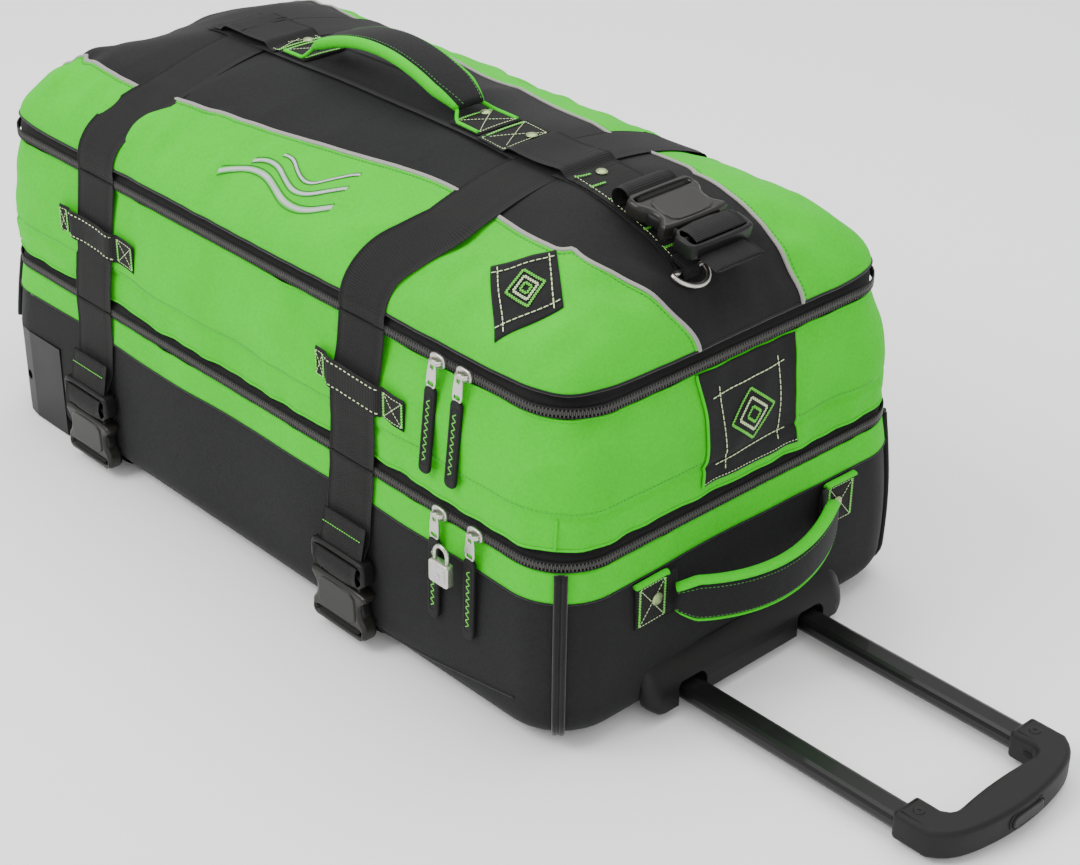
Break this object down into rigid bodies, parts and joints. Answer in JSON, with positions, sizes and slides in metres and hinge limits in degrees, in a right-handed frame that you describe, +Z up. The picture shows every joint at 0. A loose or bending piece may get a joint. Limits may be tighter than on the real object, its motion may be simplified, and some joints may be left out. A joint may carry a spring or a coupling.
{
  "type": "two-level rolling travel bag",
  "caption": "Soft two-level rolling bag with a zipped lid, a divided body, buckled webbing straps, wheels at one end and a telescoping pull handle at the other.",
  "frame": {"origin": "middle of the plane that the skids and wheels rest on, half way along the body", "axes": "+Z up off the back of the bag, +X towards the pull-handle end, -Y towards the side that opens, +Y towards the hinge side"},
  "size_m": [0.9675, 0.386, 0.381],
  "materials": {
    "black_cloth": "fine plain weave, matt",
    "green_cloth": "fine plain weave, slight sheen",
    "webbing": "ribbed webbing, slight sheen",
    "moulded_plastic": "satin, fine grain",
    "board_plastic": "cloth-covered board",
    "guide_aluminium": "mill finish",
    "black_tube": "gloss black anodised",
    "steel_pin": "brushed",
    "nickel": "brushed nickel plate",
    "wheel_rubber": "moulded rubber tread",
    "pull_rubber": "soft moulded rubber"
  },
  "bodies": {
    "base": {"lower_shell": "black_cloth", "lower_band": "black_cloth", "lower_zip_base_tape": "webbing", "back_board": "board_plastic", "guide_tube_right": "guide_aluminium", "guide_tube_left": "guide_aluminium", "trolley_housing": "moulded_plastic", "wheel_housing_right": "moulded_plastic", "wheel_housing_left": "moulded_plastic", "axle_right": "steel_pin", "axle_left": "steel_pin", "skid_right": "moulded_plastic", "skid_middle": "moulded_plastic", "skid_left": "moulded_plastic", "haul_tab_right": "webbing", "haul_tab_left": "webbing", "buckle_socket_front": "moulded_plastic", "buckle_socket_rear": "moulded_plastic", "strap_low_front": "webbing", "strap_low_rear": "webbing"},
    "mid": {"middle_gusset": "green_cloth", "lower_zip_middle_tape": "webbing", "upper_zip_middle_tape": "webbing", "divider_panel": "board_plastic", "strap_side_front": "webbing", "strap_side_rear": "webbing", "keeper_front": "webbing", "keeper_rear": "webbing"},
    "lid": {"lid_shell": "green_cloth", "upper_zip_lid_tape": "webbing", "strap_over_front": "webbing", "strap_over_rear": "webbing", "belt_loop_front": "webbing", "belt_loop_rear": "webbing", "handle_tab_front": "webbing", "handle_tab_rear": "webbing", "top_strap": "webbing", "top_buckle_socket": "moulded_plastic"},
    "pull_handle": {"pull_tube_right": "black_tube", "pull_tube_left": "black_tube", "pull_grip": "moulded_plastic"},
    "grip_button": {"grip_button": "moulded_plastic"},
    "wheel_right": {"wheel_right": "wheel_rubber"},
    "wheel_left": {"wheel_left": "wheel_rubber"},
    "haul_handle": {"haul_handle": "black_cloth"},
    "top_handle": {"top_handle": "black_cloth"},
    "buckle_latch_front": {"buckle_latch_front": "moulded_plastic"},
    "buckle_latch_rear": {"buckle_latch_rear": "moulded_plastic"},
    "top_buckle_latch": {"top_buckle_latch": "moulded_plastic"},
    "d_ring": {"d_ring": "nickel"},
    "padlock": {"padlock": "nickel"},
    "slider_upper_rear": {"slider_upper_rear": "nickel"},
    "pull_upper_rear": {"pull_upper_rear": "pull_rubber"},
    "slider_upper_front": {"slider_upper_front": "nickel"},
    "pull_upper_front": {"pull_upper_front": "pull_rubber"},
    "slider_lower_rear": {"slider_lower_rear": "nickel"},
    "pull_lower_rear": {"pull_lower_rear": "pull_rubber"},
    "slider_lower_front": {"slider_lower_front": "nickel"},
    "pull_lower_front": {"pull_lower_front": "pull_rubber"}
  },
  "joints": [
    {"name": "mid_hinge", "type": "hinge", "parent": "base", "child": "mid", "pos_m": [0, 0.182, 0.148], "axis": [-1, 0, 0], "range_deg": [0, 85]},
    {"name": "lid_hinge", "type": "hinge", "parent": "mid", "child": "lid", "pos_m": [0, 0.169, 0.257], "axis": [-1, 0, 0], "range_deg": [0, 100]},
    {"name": "pull_slide", "type": "slide", "parent": "base", "child": "pull_handle", "axis": [1, 0, 0], "range_m": [-0.187, 0.36]},
    {"name": "button_press", "type": "slide", "parent": "pull_handle", "child": "grip_button", "axis": [-1, 0, 0], "range_m": [0, 0.004], "stiffness_N_per_m": 400},
    {"name": "wheel_right_spin", "type": "hinge", "parent": "base", "child": "wheel_right", "pos_m": [-0.318, -0.148, 0.038], "axis": [0, 1, 0], "continuous": true},
    {"name": "wheel_left_spin", "type": "hinge", "parent": "base", "child": "wheel_left", "pos_m": [-0.318, 0.148, 0.038], "axis": [0, 1, 0], "continuous": true},
    {"name": "haul_swing", "type": "hinge", "parent": "base", "child": "haul_handle", "pos_m": [0.3628, 0, 0.1], "axis": [0, 1, 0], "range_deg": [-30, 30], "stiffness_Nm_per_rad": 0.6},
    {"name": "top_handle_swing", "type": "hinge", "parent": "lid", "child": "top_handle", "pos_m": [0, -0.006, 0.353], "axis": [1, 0, 0], "range_deg": [-30, 30], "stiffness_Nm_per_rad": 0.6},
    {"name": "latch_front_slide", "type": "slide", "parent": "base", "child": "buckle_latch_front", "axis": [0, 0, 1], "range_m": [0, 0.032], "deforming": ["strap_low_front"]},
    {"name": "latch_rear_slide", "type": "slide", "parent": "base", "child": "buckle_latch_rear", "axis": [0, 0, 1], "range_m": [0, 0.032], "deforming": ["strap_low_rear"]},
    {"name": "top_latch_slide", "type": "slide", "parent": "lid", "child": "top_buckle_latch", "axis": [0.9744, 0, -0.225], "range_m": [0, 0.032]},
    {"name": "d_ring_swing", "type": "hinge", "parent": "lid", "child": "d_ring", "pos_m": [0.304, -0.024, 0.3116], "axis": [0, -1, 0], "range_deg": [0, 20]},
    {"name": "slider_upper_rear_slide", "type": "slide", "parent": "mid", "child": "slider_upper_rear", "axis": [1, 0, 0], "range_m": [-0.018, 0]},
    {"name": "pull_upper_rear_swing", "type": "hinge", "parent": "slider_upper_rear", "child": "pull_upper_rear", "pos_m": [0.2135, -0.1769, 0.257], "axis": [-1, 0, 0], "range_deg": [0, 90]},
    {"name": "slider_upper_front_slide", "type": "slide", "parent": "mid", "child": "slider_upper_front", "axis": [1, 0, 0], "range_m": [0, 0.045]},
    {"name": "pull_upper_front_swing", "type": "hinge", "parent": "slider_upper_front", "child": "pull_upper_front", "pos_m": [0.2405, -0.1769, 0.257], "axis": [-1, 0, 0], "range_deg": [0, 90]},
    {"name": "slider_lower_rear_slide", "type": "slide", "parent": "base", "child": "slider_lower_rear", "axis": [1, 0, 0], "range_m": [-0.05, 0]},
    {"name": "pull_lower_rear_swing", "type": "hinge", "parent": "slider_lower_rear", "child": "pull_lower_rear", "pos_m": [0.228, -0.1899, 0.148], "axis": [-1, 0, 0], "range_deg": [0, 90]},
    {"name": "slider_lower_front_slide", "type": "slide", "parent": "base", "child": "slider_lower_front", "axis": [1, 0, 0], "range_m": [0, 0.025]},
    {"name": "pull_lower_front_swing", "type": "hinge", "parent": "slider_lower_front", "child": "pull_lower_front", "pos_m": [0.265, -0.1899, 0.148], "axis": [-1, 0, 0], "range_deg": [0, 90]},
    {"name": "padlock_swing", "type": "hinge", "parent": "slider_lower_rear", "child": "padlock", "pos_m": [0.2465, -0.1974, 0.136], "axis": [-1, 0, 0], "range_deg": [0, 60]}
  ]
}
